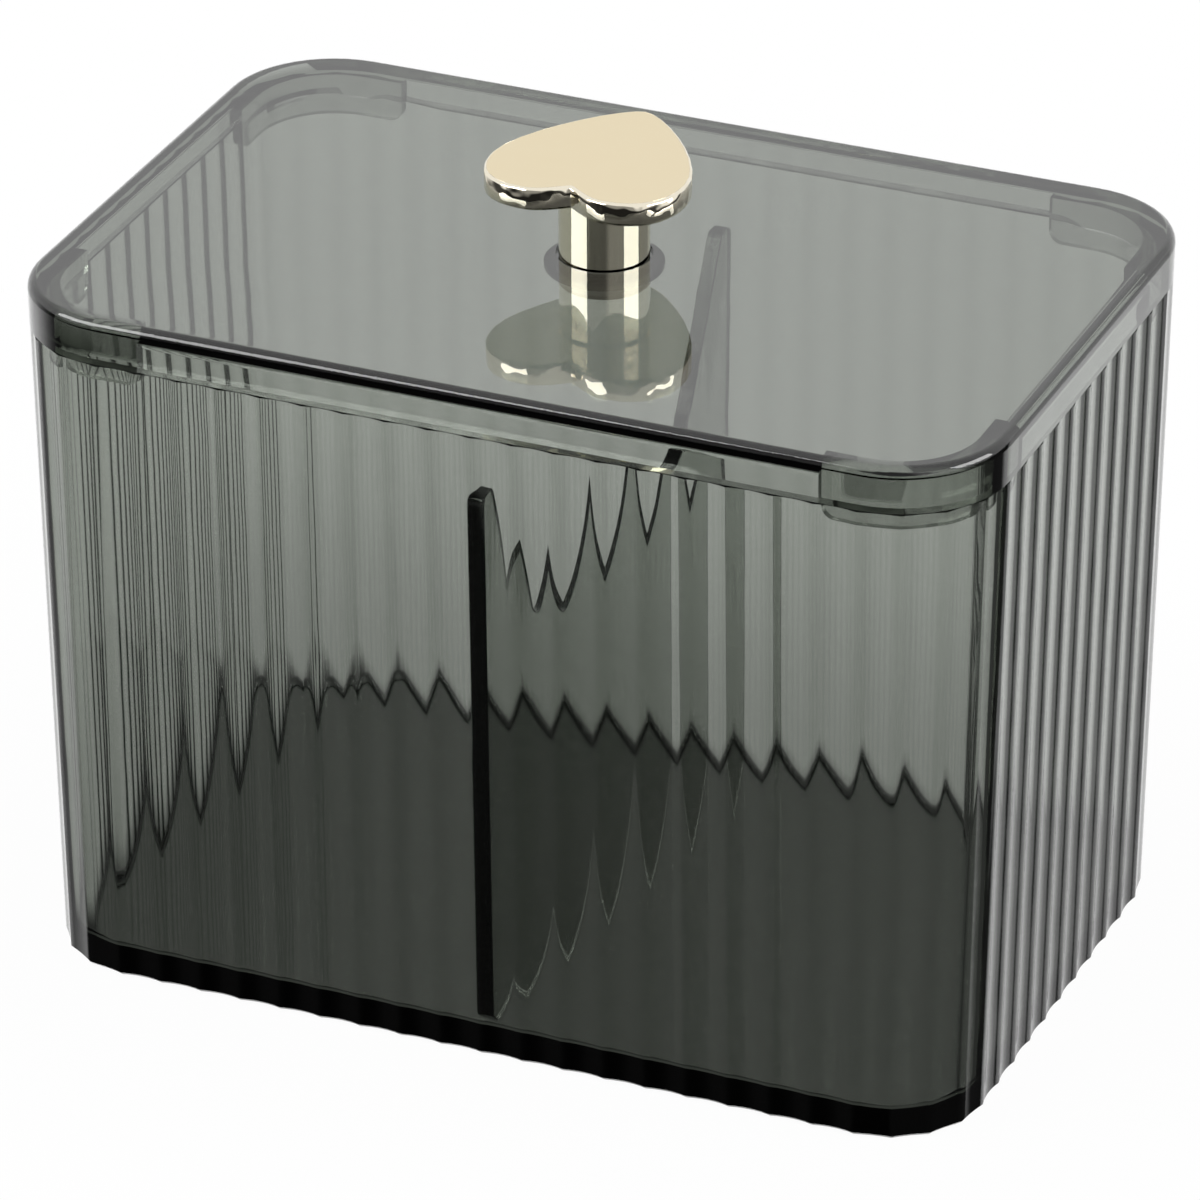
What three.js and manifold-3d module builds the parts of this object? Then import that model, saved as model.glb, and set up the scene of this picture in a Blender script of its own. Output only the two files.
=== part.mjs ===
// A smoked clear plastic organizer: a fluted box with a middle divider, and a lift-off lid with a
// plain skirt and a heart-shaped metal knob. Millimetres, +Z up, +X along the long side, the front
// at -Y. The origin is the centre of the base, on the table.

import * as THREE from "three";
import { mergeVertices } from "three/addons/utils/BufferGeometryUtils.js";
import Module from "manifold-3d";

const wasm = await Module();
wasm.setup();

// Shared clearances
const seatGap = 0.3; // between the box, its divider and the lid
const knobGap = 0.15; // between the pieces that the knob's screw draws together
const overrun = 1; // how far a cutter passes the face that it cuts
const weld = 0.0001; // corners closer than this are one corner

// Fluted box
const flutePitch = 6; // one flute, measured at the rim
const frontFlutes = 18;
const sideFlutes = 10;
const cornerFlutes = 4;
const fluteDepth = 0.4;
const bodyHeight = 94.2;
const bodyWall = 2.4; // from a ridge to the smooth inside
const floorThickness = 3.4;
const floorFillet = 1.6;
const baseRound = 0.5;
const draftShare = 0.0195; // how far each wall leans out for each millimetre of height

// Divider
const dividerThickness = 2.2;
const hornTop = 84.8;
const hornWidth = 3.4;
const hornRound = 1.5;
const scoopFloor = 58;
const scoopRound = 9;
const scoopLeanShare = 0.5; // run of the scoop's side for each millimetre that it falls

// Lid
const lidThickness = 2.9;
const lidRound = 1.3;
const skirtHeight = 3.6; // from the skirt's foot to the underside of the plate
const skirtWall = 2.4;
const skirtFillet = 0.6;
const knobSeatDepth = 0.5; // shallow round seat for the stem in the lid's top
const knobSeatLip = 0.4; // open groove round the stem in its seat
const tabDepth = 3.1; // below the skirt's foot
const tabThickness = 1.5;
const tabReach = 5.7; // straight run past the corner's curve
const tabRound = 1.9;
const tabRoot = 0.5; // how deep a tab is rooted in the plate and the skirt

// Knob
const collarRadius = 8.15;
const collarHeight = 0.9;
const collarLip = 0.85; // raised edge that bears on the lid
const collarRecess = 0.3;
const collarEdge = 0.2;
const stemRadius = 6.15;
const stemLength = 11.45;
const stemEdge = 0.25;
const screwRadius = 2;
const screwClearance = 0.3;
const screwReach = 6.5; // length of shank inside the stem
const screwHoleDepth = 8;
const screwTip = 0.5;
const screwHeadLip = 0.3; // how far the screw's head reaches past the stem
const screwHeadHeight = 2.2;
const screwHeadRound = 0.9;

// Heart, measured from the knob's axis
const heartHalfWidth = 14;
const heartFront = 14.2;
const heartNotch = 2.8;
const heartTip = 14.5;
const heartWaist = 5.2; // how far in front of the axis the heart is widest
const heartThickness = 3.35;
const heartEdge = 0.45;

// How finely the curves are cut
const fluteFacets = 6;
const cornerFacets = 12;
const roundSteps = 4;
const turnFacets = 48;
const heartFacets = 9;

// Sizes that follow
const rightAngle = Math.PI / 2;
const coreX = (frontFlutes * flutePitch) / 2;
const coreY = (sideFlutes * flutePitch) / 2;
const cornerRadius = (cornerFlutes * flutePitch) / rightAngle;
const lidHeight = skirtHeight + lidThickness;
const screwHoleRadius = screwRadius + screwClearance;
const screwHeadRadius = stemRadius + screwHeadLip;

const smokedPlastic = {
  color: 0x8f9692,
  roughness: 0.06,
  metalness: 0,
  transparent: true,
  opacity: 0.4,
};
const darkPlastic = { ...smokedPlastic, color: 0x3a3b3c, opacity: 0.8 };
const polishedGold = { color: 0xd9c7a0, roughness: 0.08, metalness: 1 };
const satinGold = { color: 0xebdcb8, roughness: 0.3, metalness: 1 };
const steel = { color: 0x9a9a94, roughness: 0.3, metalness: 1 };

// Distance from the box's core rectangle to the tips of its ridges, at a height above the table.
function skinAt(z) {
  return cornerRadius - draftShare * (bodyHeight - z);
}

// Walks once round the core rectangle, counter-clockwise from the front left. Each column has a
// point of the rectangle and the direction that the box's skin lies in from there.
function contour(frontSteps, sideSteps, cornerSteps) {
  const corners = [
    new THREE.Vector2(-coreX, -coreY),
    new THREE.Vector2(coreX, -coreY),
    new THREE.Vector2(coreX, coreY),
    new THREE.Vector2(-coreX, coreY),
  ];
  const columns = [];
  corners.forEach((start, side) => {
    const end = corners[(side + 1) % corners.length];
    const steps = side % 2 ? sideSteps : frontSteps;
    const facing = (side - 1) * rightAngle;
    for (let i = 0; i < steps; i++) {
      columns.push({ core: start.clone().lerp(end, i / steps), angle: facing });
    }
    for (let i = 0; i < cornerSteps; i++) {
      columns.push({ core: end, angle: facing + (i / cornerSteps) * rightAngle });
    }
  });
  return columns;
}

// One level of a loft: the contour moved out by reach(i) at the height level(i).
function ring(columns, reach, level) {
  return columns.map(
    ({ core, angle }, i) =>
      new THREE.Vector3(
        core.x + Math.cos(angle) * reach(i),
        core.y + Math.sin(angle) * reach(i),
        level(i),
      ),
  );
}

// A closed skin over rings that lie above each other, with a fan across the first and the last.
function loft(rings) {
  const count = rings[0].length;
  const points = rings.flat();
  const faces = [];
  for (let r = 0; r + 1 < rings.length; r++) {
    for (let i = 0; i < count; i++) {
      const j = (i + 1) % count;
      const low = r * count;
      const high = low + count;
      faces.push(low + i, low + j, high + j, low + i, high + j, high + i);
    }
  }
  const middle = (points_) =>
    points_.reduce((sum, p) => sum.add(p), new THREE.Vector3()).divideScalar(points_.length);
  const last = (rings.length - 1) * count;
  const bottom = points.push(middle(rings[0])) - 1;
  const top = points.push(middle(rings[rings.length - 1])) - 1;
  for (let i = 0; i < count; i++) {
    const j = (i + 1) % count;
    faces.push(bottom, j, i, top, last + i, last + j);
  }
  return new THREE.BufferGeometry().setFromPoints(points).setIndex(faces);
}

// A three.js geometry as a solid that can be joined and cut. Triangles that shrank to a line,
// such as those at the centre of a disc, are left out.
function toSolid(geometry) {
  const bare = geometry.clone();
  bare.deleteAttribute("normal");
  bare.deleteAttribute("uv");
  const merged = mergeVertices(bare, weld);
  const kept = [];
  for (let i = 0; i < merged.index.count; i += 3) {
    const [a, b, c] = [0, 1, 2].map((k) => merged.index.getX(i + k));
    if (a !== b && b !== c && c !== a) kept.push(a, b, c);
  }
  return new wasm.Manifold(
    new wasm.Mesh({
      numProp: 3,
      vertProperties: merged.attributes.position.array,
      triVerts: new Uint32Array(kept),
    }),
  );
}

function toGeometry(solid) {
  const { vertProperties, triVerts } = solid.getMesh();
  const geometry = new THREE.BufferGeometry();
  geometry.setAttribute("position", new THREE.BufferAttribute(vertProperties, 3));
  geometry.setIndex(new THREE.BufferAttribute(triVerts, 1));
  const flat = geometry.toNonIndexed();
  flat.computeVertexNormals();
  return flat;
}

function piece(name, geometry, look) {
  const mesh = new THREE.Mesh(geometry, new THREE.MeshStandardMaterial(look));
  mesh.name = name;
  return mesh;
}

// A turned piece: a profile of [radius, height] points, stood up along +Z.
function turned(name, profile, look) {
  const points = profile.map(([r, z]) => new THREE.Vector2(r, z));
  const mesh = piece(name, new THREE.LatheGeometry(points, turnFacets), look);
  mesh.rotation.x = rightAngle;
  return mesh;
}

// The sines and cosines of a quarter turn, from a first step to a last.
function quarterTurn(steps) {
  return Array.from({ length: steps + 1 }, (_, i) => {
    const angle = (i / steps) * rightAngle;
    return { sin: Math.sin(angle), cos: Math.cos(angle) };
  });
}

// The outside of the box. Every flute is a shallow hollow between two ridges, and runs up from the
// base to the rim. The walls lean out as they rise, and only the flutes round the corners get
// wider with them.
function flutedSkin() {
  const columns = contour(
    frontFlutes * fluteFacets,
    sideFlutes * fluteFacets,
    cornerFlutes * fluteFacets,
  );
  const hollowShares = columns.map((_, i) => {
    const acrossShare = (2 * (i % fluteFacets)) / fluteFacets - 1;
    return 1 - acrossShare * acrossShare;
  });
  const hollow = (i) => fluteDepth * hollowShares[i];
  return loft([
    ring(columns, (i) => skinAt(0) - hollow(i) - baseRound, () => 0),
    ring(columns, (i) => skinAt(baseRound) - hollow(i), () => baseRound),
    ring(columns, (i) => skinAt(bodyHeight) - hollow(i), () => bodyHeight),
  ]);
}

// The smooth inside of the box, with a fillet round its floor, open through the rim.
function boxCavity() {
  const columns = contour(1, 1, cornerFacets);
  const rings = quarterTurn(roundSteps).map(({ sin, cos }) => {
    const z = floorThickness + floorFillet * (1 - cos);
    return ring(columns, () => skinAt(z) - bodyWall - floorFillet * (1 - sin), () => z);
  });
  const mouth = bodyHeight + overrun;
  rings.push(ring(columns, () => skinAt(mouth) - bodyWall, () => mouth));
  return loft(rings);
}

function boxBody() {
  const solid = toSolid(flutedSkin()).subtract(toSolid(boxCavity()));
  return piece("box_body", toGeometry(solid), smokedPlastic);
}

// Half the width of the divider at a height, clear of the wall that it stands against.
function dividerHalfWidth(z) {
  return coreY + skinAt(z) - bodyWall - seatGap;
}

// Draws an outline through [x, y, radius] corners, each rounded off by its radius.
function roundedShape(corners) {
  const shape = new THREE.Shape();
  corners.forEach(([x, y, radius], i) => {
    const here = new THREE.Vector2(x, y);
    const [before, after] = [corners.length - 1, 1].map((step) => {
      const [nx, ny] = corners[(i + step) % corners.length];
      return new THREE.Vector2(nx, ny).sub(here);
    });
    const halfAngle = Math.acos(before.dot(after) / before.length() / after.length()) / 2;
    const run = radius / Math.tan(halfAngle);
    const arrive = before.setLength(run).add(here);
    const leave = after.setLength(run).add(here);
    if (i === 0) shape.moveTo(arrive.x, arrive.y);
    else shape.lineTo(arrive.x, arrive.y);
    if (radius > 0) shape.quadraticCurveTo(here.x, here.y, leave.x, leave.y);
  });
  shape.closePath();
  return shape;
}

// The divider's top is a deep scoop between two round-topped horns, one against each long wall.
// Its lower corners are cut off to clear the fillet of the box's floor.
function divider() {
  const foot = floorThickness + seatGap;
  const shoulder = foot + floorFillet;
  const hornInner = dividerHalfWidth(hornTop) - hornWidth;
  const hornCorner = Math.min(hornRound, hornWidth / 2);
  const scoopHalf = hornInner - (hornTop - scoopFloor) * scoopLeanShare;
  const right = [
    [dividerHalfWidth(foot) - floorFillet, foot, 0],
    [dividerHalfWidth(shoulder), shoulder, 0],
    [dividerHalfWidth(hornTop), hornTop, hornCorner],
    [hornInner, hornTop, hornCorner],
    [scoopHalf, scoopFloor, scoopRound],
  ];
  const left = right.map(([x, y, radius]) => [-x, y, radius]).reverse();
  const geometry = new THREE.ExtrudeGeometry(roundedShape([...right, ...left]), {
    depth: dividerThickness,
    bevelEnabled: false,
    curveSegments: roundSteps * 2,
  });
  const mesh = piece("divider", geometry, smokedPlastic);
  mesh.rotation.set(rightAngle, 0, rightAngle, "ZYX");
  mesh.position.x = -dividerThickness / 2;
  return mesh;
}

// A level of the lid at a height above the skirt's foot, drawn in from the line of the walls.
function lidLevel(inset, z) {
  const columns = contour(1, 1, cornerFacets);
  return ring(columns, () => skinAt(bodyHeight + z) - inset, () => z);
}

// The outside of the lid. Its side carries on the lean of the walls, flush with their ridges, and
// is rounded over to the flat top.
function lidSkin() {
  const crown = quarterTurn(roundSteps).map(({ sin, cos }) =>
    lidLevel(lidRound * (1 - cos), lidHeight - lidRound * (1 - sin)),
  );
  return loft([lidLevel(0, 0), ...crown]);
}

// The shallow space inside the skirt, with a fillet under the plate.
function lidCavity() {
  const ceiling = quarterTurn(roundSteps).map(({ sin, cos }) =>
    lidLevel(skirtWall + skirtFillet * (1 - cos), skirtHeight - skirtFillet * (1 - sin)),
  );
  return loft([lidLevel(skirtWall, -overrun), ...ceiling]);
}

// A curved block inside a corner of the lid, between an outer and an inner face and two heights,
// with its lower ends rounded off. It is drawn round the front right corner, with the centre of
// the corner's curve at zero.
function cornerBlock(outer, inner, low, high, round) {
  const leg = quarterTurn(roundSteps).map(({ sin, cos }) => ({
    left: tabReach - round * (1 - cos),
    rise: round * (1 - sin),
  }));
  const stations = leg.map(({ left, rise }) => ({ x: -left, y: 0, angle: -rightAngle, rise }));
  for (let i = 0; i <= cornerFacets; i++) {
    stations.push({ x: 0, y: 0, angle: (i / cornerFacets - 1) * rightAngle, rise: 0 });
  }
  for (const { left, rise } of leg.reverse()) stations.push({ x: 0, y: left, angle: 0, rise });
  const points = stations.flatMap(({ x, y, angle, rise }) => {
    const at = (reach, z) =>
      new THREE.Vector3(x + Math.cos(angle) * reach, y + Math.sin(angle) * reach, z);
    return [at(outer, low + rise), at(outer, high), at(inner, high), at(inner, low + rise)];
  });
  const faces = [0, 1, 2, 0, 2, 3];
  const last = points.length - 4;
  for (let s = 0; s < last; s += 4) {
    for (let k = 0; k < 4; k++) {
      const next = (k + 1) % 4;
      faces.push(s + k, s + 4 + k, s + 4 + next, s + k, s + 4 + next, s + next);
    }
  }
  faces.push(last, last + 2, last + 1, last, last + 3, last + 2);
  return new THREE.BufferGeometry().setFromPoints(points).setIndex(faces);
}

// A tab that keeps the lid in place. Inside the skirt it is one with it, and below the skirt it
// hangs clear of the box's wall.
function cornerTab() {
  const skirtInner = skinAt(bodyHeight) - skirtWall;
  const outer = skinAt(bodyHeight - tabDepth) - bodyWall - seatGap;
  const inner = outer - tabThickness;
  const ceiling = skirtHeight + tabRoot;
  return [
    cornerBlock(skirtInner + tabRoot, inner, 0, ceiling, 0),
    cornerBlock(outer, inner, -tabDepth, tabRoot, tabRound),
  ];
}

// A round cutter about the knob's axis, from one height to another.
function boring(radius, from, to) {
  const cutter = new THREE.CylinderGeometry(radius, radius, to - from, turnFacets);
  cutter.rotateX(rightAngle).translate(0, 0, (from + to) / 2);
  return toSolid(cutter);
}

function lid() {
  let solid = toSolid(lidSkin()).subtract(toSolid(lidCavity()));
  [1, 1, -1, -1].forEach((sideX, turn) => {
    const sideY = turn === 0 || turn === 3 ? -1 : 1;
    for (const block of cornerTab()) {
      block.rotateZ(turn * rightAngle).translate(sideX * coreX, sideY * coreY, 0);
      solid = solid.add(toSolid(block));
    }
  });
  const hole = boring(screwHoleRadius, 0, lidHeight);
  const seatFloor = lidHeight - knobSeatDepth;
  const seat = boring(stemRadius + knobSeatLip, seatFloor, lidHeight + overrun);
  return piece("lid", toGeometry(solid.subtract(hole).subtract(seat)), smokedPlastic);
}

// The flat ring under the lid that spreads the screw's pull. It bears on the lid with a raised
// edge, and its top is at zero.
function knobCollar() {
  const profile = [
    [screwHoleRadius, -collarHeight],
    [collarRadius - collarEdge, -collarHeight],
    [collarRadius, collarEdge - collarHeight],
    [collarRadius, 0],
    [collarRadius - collarLip, 0],
    [collarRadius - collarLip - collarEdge, -collarRecess],
    [screwHoleRadius, -collarRecess],
    [screwHoleRadius, -collarHeight],
  ];
  return turned("knob_collar", profile, darkPlastic);
}

// The round stem, with a blind hole from below for the screw.
function knobStem() {
  const profile = [
    [0, screwHoleDepth],
    [screwHoleRadius, screwHoleDepth],
    [screwHoleRadius, 0],
    [stemRadius - stemEdge, 0],
    [stemRadius, stemEdge],
    [stemRadius, stemLength - stemEdge],
    [stemRadius - stemEdge, stemLength],
    [0, stemLength],
  ];
  return turned("knob_stem", profile, polishedGold);
}

// The screw comes up through the collar and the lid into the stem. Its head's top is at zero.
function knobScrew() {
  const headFoot = -screwHeadHeight;
  const top = collarHeight + lidThickness - knobSeatDepth + 3 * knobGap + screwReach;
  const head = quarterTurn(roundSteps).map(({ sin, cos }) => [
    screwHeadRadius - screwHeadRound * (1 - sin),
    headFoot + screwHeadRound * (1 - cos),
  ]);
  const profile = [
    [0, headFoot],
    ...head,
    [screwHeadRadius, 0],
    [screwRadius, 0],
    [screwRadius, top - screwTip],
    [screwRadius - screwTip, top],
    [0, top],
  ];
  return turned("knob_screw", profile, steel);
}

// The heart points to the back, with its notch to the front. Half of it is three curves, each
// written as shares of the heart's own sizes, and the other half mirrors them.
function heartShape() {
  const waist = -heartWaist;
  const notch = heartNotch - heartFront;
  const tipToWaist = heartTip + heartWaist;
  const frontRun = heartFront - heartWaist;
  const tipShares = { flank: 0.231, shoulder: 0.373 };
  const lobeShares = { side: 0.481, front: 0.88, end: 0.41 };
  const notchShares = { start: 0.218, end: 0.03 };
  const curves = [
    [
      [heartHalfWidth * tipShares.flank, heartTip],
      [heartHalfWidth, waist + tipToWaist * tipShares.shoulder],
      [heartHalfWidth, waist],
    ],
    [
      [heartHalfWidth, waist - frontRun * lobeShares.side],
      [heartHalfWidth * lobeShares.front, -heartFront],
      [heartHalfWidth * lobeShares.end, -heartFront],
    ],
    [
      [heartHalfWidth * notchShares.start, -heartFront],
      [heartHalfWidth * notchShares.end, notch],
      [0, notch],
    ],
  ];
  const shape = new THREE.Shape();
  shape.moveTo(0, heartTip);
  for (const [first, second, end] of curves) shape.bezierCurveTo(...first, ...second, ...end);
  const back = [[0, heartTip], ...curves.flat()].reverse();
  for (let i = 1; i < back.length; i += 3) {
    const [first, second, end] = back.slice(i, i + 3).map(([x, y]) => [-x, y]);
    shape.bezierCurveTo(...first, ...second, ...end);
  }
  return shape;
}

function knobHeart() {
  const geometry = new THREE.ExtrudeGeometry(heartShape(), {
    depth: heartThickness - 2 * heartEdge,
    bevelThickness: heartEdge,
    bevelSize: heartEdge,
    bevelOffset: -heartEdge,
    bevelSegments: roundSteps,
    curveSegments: heartFacets,
  });
  geometry.translate(0, 0, heartEdge);
  return piece("knob_heart", geometry, satinGold);
}

const organizer = new THREE.Group();
organizer.add(boxBody(), divider());

const lidGroup = new THREE.Group();
lidGroup.position.z = bodyHeight + seatGap;
lidGroup.add(lid());
organizer.add(lidGroup);

// The stem and the heart stand in the seat on the lid, and the collar and the screw's head hang
// under its plate.
const collar = knobCollar();
collar.position.z = skirtHeight - knobGap;
const screw = knobScrew();
screw.position.z = collar.position.z - collarHeight - knobGap;
const stem = knobStem();
stem.position.z = lidHeight - knobSeatDepth + knobGap;
const heart = knobHeart();
heart.position.z = stem.position.z + stemLength + knobGap;
lidGroup.add(collar, screw, stem, heart);

export default organizer;
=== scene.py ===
import math

import bpy
from mathutils import Euler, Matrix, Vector


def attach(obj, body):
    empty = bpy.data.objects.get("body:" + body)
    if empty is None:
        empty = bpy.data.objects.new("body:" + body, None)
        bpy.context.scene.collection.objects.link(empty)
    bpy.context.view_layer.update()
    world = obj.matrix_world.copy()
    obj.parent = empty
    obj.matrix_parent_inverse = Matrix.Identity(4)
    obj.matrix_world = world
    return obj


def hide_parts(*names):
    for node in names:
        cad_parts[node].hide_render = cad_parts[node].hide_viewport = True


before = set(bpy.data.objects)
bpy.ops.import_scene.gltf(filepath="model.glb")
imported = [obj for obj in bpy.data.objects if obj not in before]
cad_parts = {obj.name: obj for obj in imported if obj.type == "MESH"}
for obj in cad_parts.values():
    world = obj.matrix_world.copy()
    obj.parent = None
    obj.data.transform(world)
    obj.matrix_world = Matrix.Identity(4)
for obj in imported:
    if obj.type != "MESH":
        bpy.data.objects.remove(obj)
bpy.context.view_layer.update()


# The studio
# A pale table that runs off into white, a soft light on each side, and a camera with a long lens
# that looks down on the lid from the front right corner.

class Socket:
    """A number in a shader. Written sums of such numbers become Math nodes."""

    def __init__(self, shader, socket):
        self.shader = shader
        self.socket = socket

    def maths(self, operation, *others):
        numbers = dict(enumerate((self, *others)))
        return self.shader.add("ShaderNodeMath", {"operation": operation}, numbers)

    def below(self, low, high):
        """1 below low, 0 above high, and an even slope between them."""
        return self.shader.add("ShaderNodeMapRange", {"interpolation_type": "SMOOTHSTEP"}, {
            "Value": self, "From Min": low, "From Max": high, "To Min": 1.0, "To Max": 0.0})

    def __add__(self, other):
        return self.maths("ADD", other)

    __radd__ = __add__

    def __sub__(self, other):
        return self.maths("SUBTRACT", other)

    def __rsub__(self, other):
        return self * -1 + other

    def __mul__(self, other):
        return self.maths("MULTIPLY", other)

    __rmul__ = __mul__


class Shader:
    """The node tree of a finish, which starts empty."""

    def __init__(self, tree, last):
        self.tree = tree
        self.last = last
        tree.nodes.clear()

    def add(self, kind, settings=None, inputs=None, output=0):
        node = self.tree.nodes.new(kind)
        for name, value in (settings or {}).items():
            if name == "stops":
                ramp = node.color_ramp
                while len(ramp.elements) < len(value):
                    ramp.elements.new(1)
                for element, (position, colour) in zip(ramp.elements, value):
                    element.position = position
                    element.color = colour
            else:
                setattr(node, name, value)
        for name, value in (inputs or {}).items():
            if isinstance(value, Socket):
                self.tree.links.new(value.socket, node.inputs[name])
            else:
                node.inputs[name].default_value = value
        return Socket(self, node.outputs[output])

    def rays(self):
        """1 for a ray from the camera, off gloss, and through clear plastic, in turn."""
        return (self.add("ShaderNodeLightPath", output=name)
                for name in ("Is Camera Ray", "Is Glossy Ray", "Is Transmission Ray"))

    def finish(self, **inputs):
        """Bring the finished surface and volume out of the tree."""
        node = self.tree.nodes.new(self.last)
        for name, value in inputs.items():
            self.tree.links.new(value.socket, node.inputs[name])


def new_finish(name):
    material = bpy.data.materials.new(name)
    material.use_nodes = True
    return material, Shader(material.node_tree, "ShaderNodeOutputMaterial")


def place_lamp(name, at, aim, width, height, watts):
    lamp = bpy.data.lights.new(name, "AREA")
    lamp.shape = "RECTANGLE"
    lamp.size = width
    lamp.size_y = height
    lamp.energy = watts
    holder = bpy.data.objects.new(name, lamp)
    holder.location = at
    holder.rotation_euler = (Vector(aim) - Vector(at)).to_track_quat("-Z", "Y").to_euler()
    bpy.context.collection.objects.link(holder)


scene = bpy.context.scene
scene.view_settings.view_transform = "Standard"

# The table lies a hair below the box. The air between them keeps the plastic's edge dark.
air_gap = 0.0003
bpy.ops.object.select_all(action="DESELECT")
bpy.ops.mesh.primitive_plane_add(size=8, location=(0, 0, -air_gap))
table = bpy.context.object
table.name = "table"

# The table glows as a lit background does, but hardly under the box, where little light gets in. Seen
# through the plastic, its glow is dimmed near the box as painted shadow, and dimmed more in front of it and
# on its right as painted shade. Gloss mirrors the room in its place.
half_length = 0.069
half_width = 0.045
right_end = 0.065
table_finish, shader = new_finish("white_table_painted_shade")
camera_ray, glossy_ray, clear_ray = shader.rays()
mirror_ray = glossy_ray * (1 - clear_ray)
place = shader.add("ShaderNodeTexCoord", output="Object")
along = shader.add("ShaderNodeSeparateXYZ", None, {0: place}, "X")
across = shader.add("ShaderNodeSeparateXYZ", None, {0: place}, "Y")
clear_of_ends = along.maths("ABSOLUTE") - half_length
clear_of_box = clear_of_ends.maths("MAXIMUM", across.maths("ABSOLUTE") - half_width)
under = clear_of_box.below(-0.005, 0)
# Near the box a little of the table's real shadow shows to the camera, and seen through the plastic the
# glow is dimmed there as painted shadow.
near_box_shadow = clear_of_box.below(0, 0.10)
behind_or_left = (across - half_width).maths("MAXIMUM", along * -1 - half_length)
behind_or_left = behind_or_left.maths("MINIMUM", along * -1 + right_end)
# Painted shade: seen through the plastic, the table's glow is dimmed far more in front of the box and on
# its right.
painted_shade_front_right = behind_or_left.below(0, 0.01) * clear_of_box.below(0.17, 0.32)
glow_share = camera_ray * (1 - near_box_shadow * 0.03) + clear_ray
seen_through = (1 - near_box_shadow * 0.35) * (1 - painted_shade_front_right * 0.88) + under * 0.12
glow_level = camera_ray + clear_ray * seen_through
paint = shader.add("ShaderNodeBsdfDiffuse", None, {"Color": (0.7, 0.7, 0.7, 1)})
glow = shader.add("ShaderNodeEmission", None, {"Color": glow_level, "Strength": 1})
seen = shader.add("ShaderNodeMixShader", None, {0: glow_share, 1: paint, 2: glow})
through = shader.add("ShaderNodeBsdfTransparent")
shader.finish(Surface=shader.add("ShaderNodeMixShader", None, {0: mirror_ray, 1: seen, 2: through}))
table.data.materials.append(table_finish)

# The room is white, and dim in front. Below the table's edge it stays
# white behind the box, turns grey towards the right, and is dark in front.
world = bpy.data.worlds.new("white_studio")
world.use_nodes = True
scene.world = world
shader = Shader(world.node_tree, "ShaderNodeOutputWorld")
camera_ray, glossy_ray, clear_ray = shader.rays()
mirror_ray = glossy_ray * (1 - clear_ray)
direction = shader.add("ShaderNodeTexCoord", output="Generated")
rightwards, backwards, upwards = (
    shader.add("ShaderNodeSeparateXYZ", None, {0: direction}, axis) for axis in "XYZ")
back = 1 - backwards.below(-0.3, 0.3)
leftwards = backwards * 0.62 - rightwards * 0.79
right = leftwards.below(0.1, 0.4) * 0.3 + leftwards.below(-0.03, 0.09) * 0.7
low = upwards.below(-0.05, 0.10)
high = 1 - upwards.below(0.05, 0.3)
front = backwards.below(-0.84, -0.70)
mirrored = (1 - front * 0.7) * (1 - low * (1 - back * (1 - right)) * 0.95)
seen_through = (1 - high * 0.5) * (back * 0.8 + 0.2)
lighting = (1 - camera_ray - glossy_ray) * 0.5
level = camera_ray + mirror_ray * mirrored + clear_ray * seen_through + lighting
air = shader.add("ShaderNodeBackground", None, {"Color": level, "Strength": 1})
shader.finish(Surface=air)

middle = (0, 0, 0.055)
place_lamp("left_softbox", at=(-0.74, -0.74, 0.62), aim=middle, width=0.9, height=0.55, watts=8.7)
place_lamp("right_softbox", at=(0.98, 0.10, 0.55), aim=middle, width=0.8, height=0.5, watts=7)

camera_data = bpy.data.cameras.new("camera")
camera_data.sensor_width = 36
camera_data.lens = 249.14
camera_data.clip_end = 20
camera = bpy.data.objects.new("camera", camera_data)
camera.location = (0.39278, -0.92255, 0.58093)
camera.rotation_euler = Euler((math.radians(62.021), math.radians(0.146), math.radians(23.026)))
bpy.context.collection.objects.link(camera)
scene.camera = camera


# The fluted box
# The box is moulded in one piece of smoky clear plastic, with shallow flutes outside and smooth
# walls inside. The gloss comes from the polished mould.

def smoothed(node, name, angle, edge=0):
    """A welded copy of a solid, with its flat faces made whole and its curved ones shaded round.
    Its square edges can be broken a little, as wide as edge."""
    bpy.ops.object.select_all(action="DESELECT")
    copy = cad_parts[node].copy()
    copy.data = copy.data.copy()
    copy.data.materials.clear()
    for key in list(copy.keys()):
        del copy[key]
    copy.parent = None
    copy.name = name
    copy.data.name = name
    bpy.context.collection.objects.link(copy)
    copy.select_set(True)
    bpy.context.view_layer.objects.active = copy
    bpy.ops.object.mode_set(mode="EDIT")
    bpy.ops.mesh.select_all(action="SELECT")
    bpy.ops.mesh.remove_doubles(threshold=2e-6)
    bpy.ops.mesh.dissolve_limited(angle_limit=math.radians(0.3))
    bpy.ops.object.mode_set(mode="OBJECT")
    if edge:
        bpy.ops.object.modifier_add(type="BEVEL")
        copy.modifiers[-1].width = edge
        copy.modifiers[-1].angle_limit = math.radians(60)
        bpy.ops.object.modifier_apply(modifier=copy.modifiers[-1].name)
    bpy.ops.object.shade_smooth_by_angle(angle=math.radians(angle))
    bpy.ops.object.modifier_add(type="WEIGHTED_NORMAL")
    copy.modifiers[-1].keep_sharp = True
    bpy.ops.object.modifier_apply(modifier=copy.modifiers[-1].name)
    return copy


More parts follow.
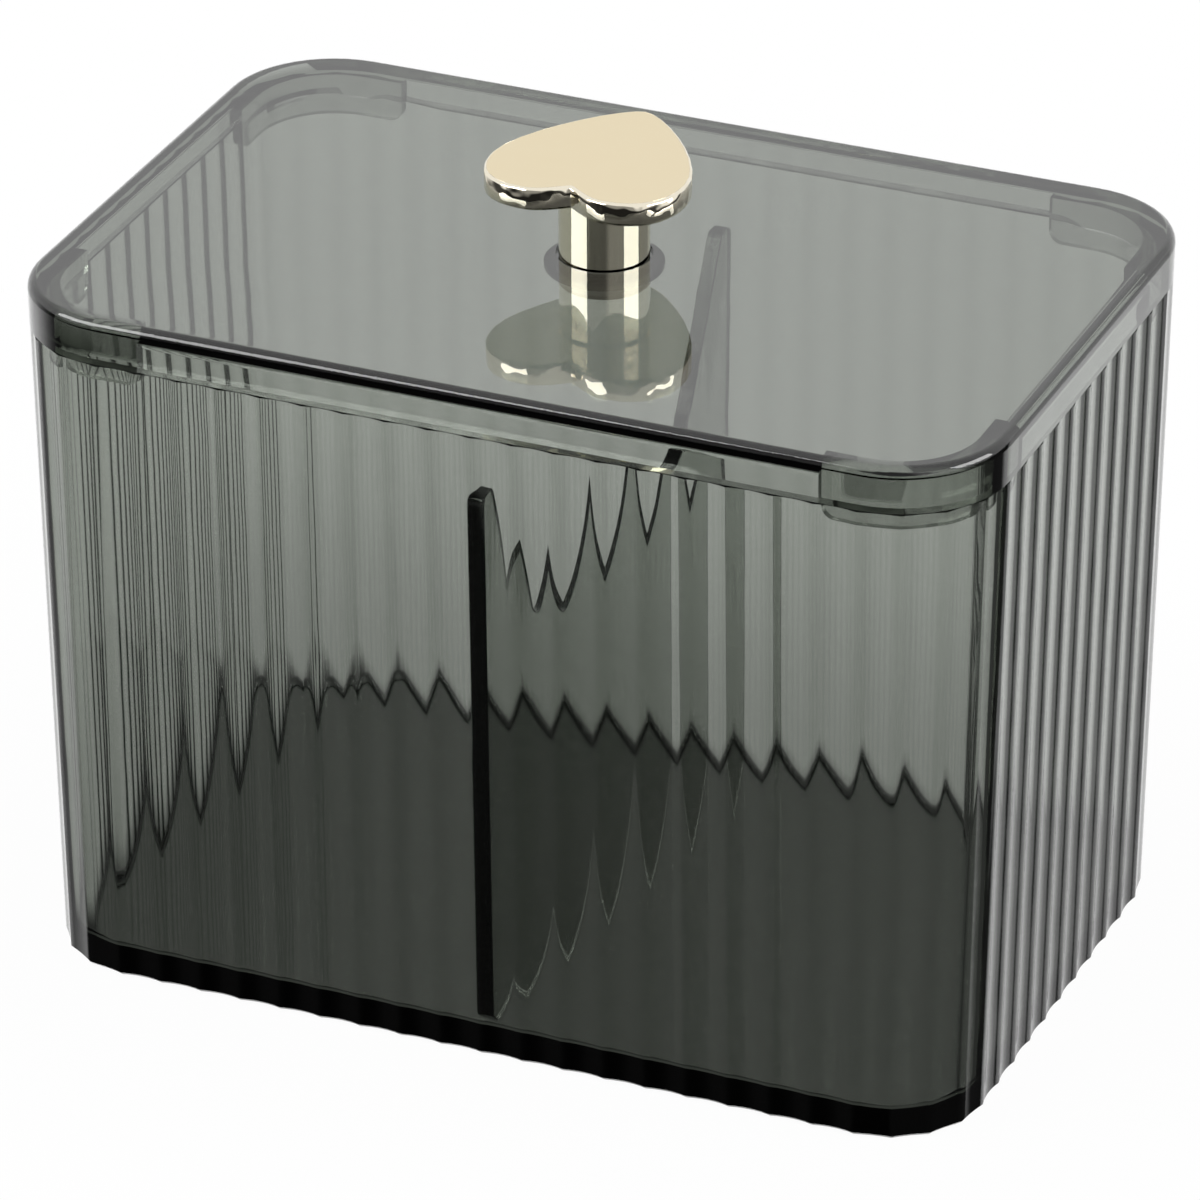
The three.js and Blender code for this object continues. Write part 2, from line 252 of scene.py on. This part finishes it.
def clear_plastic(name, tint, depth, waves, polish=0):
    """Clear plastic that lets tint's share of the light through over depth metres."""
    material, shader = new_finish(name)
    place = shader.add("ShaderNodeTexCoord", output="Object")
    flow = shader.add("ShaderNodeTexNoise", None, {"Vector": place, "Scale": 70, "Detail": 1})
    haze = shader.add("ShaderNodeTexNoise", None, {"Vector": place, "Scale": 900, "Detail": 3})
    bump = shader.add("ShaderNodeBump", None, {"Height": flow * waves, "Strength": 1, "Distance": 1})
    plastic = shader.add("ShaderNodeBsdfPrincipled", None, {
        "Base Color": (1, 1, 1, 1),
        "Roughness": haze * 0.02,
        "IOR": 1.52,
        "Transmission Weight": 1,
        "Coat Weight": polish,
        "Coat Roughness": 0.0,
        "Normal": bump,
    })
    strongest = max(-math.log(share) for share in tint)
    colour = [1 + math.log(share) / strongest for share in tint]
    smoke = shader.add("ShaderNodeVolumeAbsorption", None, {
        "Color": (*colour, 1),
        "Density": strongest / depth,
    })
    shader.finish(Surface=plastic, Volume=smoke)
    return material


smoke_share = (0.54, 0.56, 0.53)
smoke_depth = 0.0024
box = smoothed("box_body", "fluted_box", angle=23.5, edge=0.00018)
box.data.materials.append(clear_plastic("wavy_smoky_plastic", smoke_share, smoke_depth, waves=0.00015))
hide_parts("box_body")
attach(box, "box")


# The divider
# A sheet of the same plastic across the middle of the box, with a deep scoop in its top edge.

sheet = smoothed("divider", "scooped_divider", angle=31, edge=0.00015)
sheet.data.materials.append(clear_plastic("smoky_plastic", smoke_share, smoke_depth, waves=0.00002))
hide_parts("divider")
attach(sheet, "box")


# The lid
# The lid is moulded of the same plastic: a thick flat plate with a plain skirt that stands on the
# box's rim, and four tabs that reach down into the corners of the box and keep it in place.

lid = smoothed("lid", "lid_moulding", angle=31)
lid.data.materials.append(
    clear_plastic("glossy_smoky_plastic", smoke_share, smoke_depth, waves=0.00002, polish=0.5))
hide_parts("lid")
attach(lid, "lid")


# The screw
# A plain plated screw comes up through the lid. Its head shows through the plastic.

def metal(name, colour, roughness, fine_scale, fine_height):
    """Plated metal with a faint unevenness in its gloss."""
    material, shader = new_finish(name)
    place = shader.add("ShaderNodeTexCoord", output="Object")
    cloud = shader.add("ShaderNodeTexNoise", None, {"Vector": place, "Scale": 250, "Detail": 4})
    grain = shader.add("ShaderNodeTexNoise", None, {"Vector": place, "Scale": fine_scale, "Detail": 2})
    bump = shader.add("ShaderNodeBump", None, {"Height": grain * fine_height, "Strength": 1, "Distance": 1})
    shader.finish(Surface=shader.add("ShaderNodeBsdfPrincipled", None, {
        "Base Color": (*colour, 1),
        "Metallic": 1,
        "Roughness": cloud * roughness * 0.4 + roughness * 0.8,
        "Normal": bump,
    }))
    return material


plated_steel = metal(
    "plated_steel", (0.42, 0.42, 0.40), roughness=0.3, fine_scale=3000, fine_height=0.000004)
screw = smoothed("knob_screw", "knob_fixing_screw", angle=25)
screw.data.materials.append(plated_steel)
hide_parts("knob_screw")
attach(screw, "lid")


# The collar
# A flat ring of dark plastic under the lid that spreads the pull of the screw.

collar = smoothed("knob_collar", "dark_collar", angle=35)
collar.data.materials.append(
    clear_plastic("dark_clear_plastic", tint=(0.05, 0.05, 0.055), depth=0.0009, waves=0.00002))
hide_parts("knob_collar")
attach(collar, "lid")


# The stem
# A turned stem, plated and polished like a mirror.

polished_gold = metal(
    "polished_champagne_gold", (0.81, 0.77, 0.62), roughness=0.04, fine_scale=2000, fine_height=0.0000004)
stem = smoothed("knob_stem", "polished_stem", angle=30)
stem.data.materials.append(polished_gold)
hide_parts("knob_stem")
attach(stem, "lid")


# The heart
# The heart is cast and plated: its face is a fine satin. Its edge is polished by hand, which
# leaves it slightly bulging and uneven.

face_foot = (0.11557, 0.11558)
lower_round = (0.1123, 0.1127)
edge_middle = 0.1139
satin_colour = (0.80, 0.69, 0.475, 1)
polished_colour = (0.84, 0.78, 0.64, 1)
heart = smoothed("knob_heart", "satin_heart", angle=30)
heart_finish, shader = new_finish("champagne_gold_heart")
place = shader.add("ShaderNodeTexCoord", output="Object")
height = shader.add("ShaderNodeSeparateXYZ", None, {0: place}, "Z")
polished = height.below(*face_foot)
cloud = shader.add("ShaderNodeTexNoise", None, {"Vector": place, "Scale": 250, "Detail": 4})
grain = shader.add("ShaderNodeTexNoise", None, {"Vector": place, "Scale": 4000, "Detail": 2})
dents = shader.add("ShaderNodeTexNoise", None, {"Vector": place, "Scale": 300, "Detail": 1})
bulge = (height - edge_middle).maths("POWER", 2) * -130
above_underside = 1 - height.below(*lower_round)
relief = polished * (bulge + dents * above_underside * 0.0008) + (1 - polished) * grain * 0.000004
plating = shader.add("ShaderNodeValToRGB", {
    "stops": [(0, satin_colour), (1, polished_colour)]}, {"Fac": polished})
shader.finish(Surface=shader.add("ShaderNodeBsdfPrincipled", None, {
    "Base Color": plating,
    "Metallic": 1,
    "Roughness": (cloud * 0.12 + 0.24) * (1 - polished) + 0.03,
    "Normal": shader.add("ShaderNodeBump", None, {"Height": relief, "Strength": 1, "Distance": 1}),
}))
heart.data.materials.append(heart_finish)
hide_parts("knob_heart")
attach(heart, "lid")
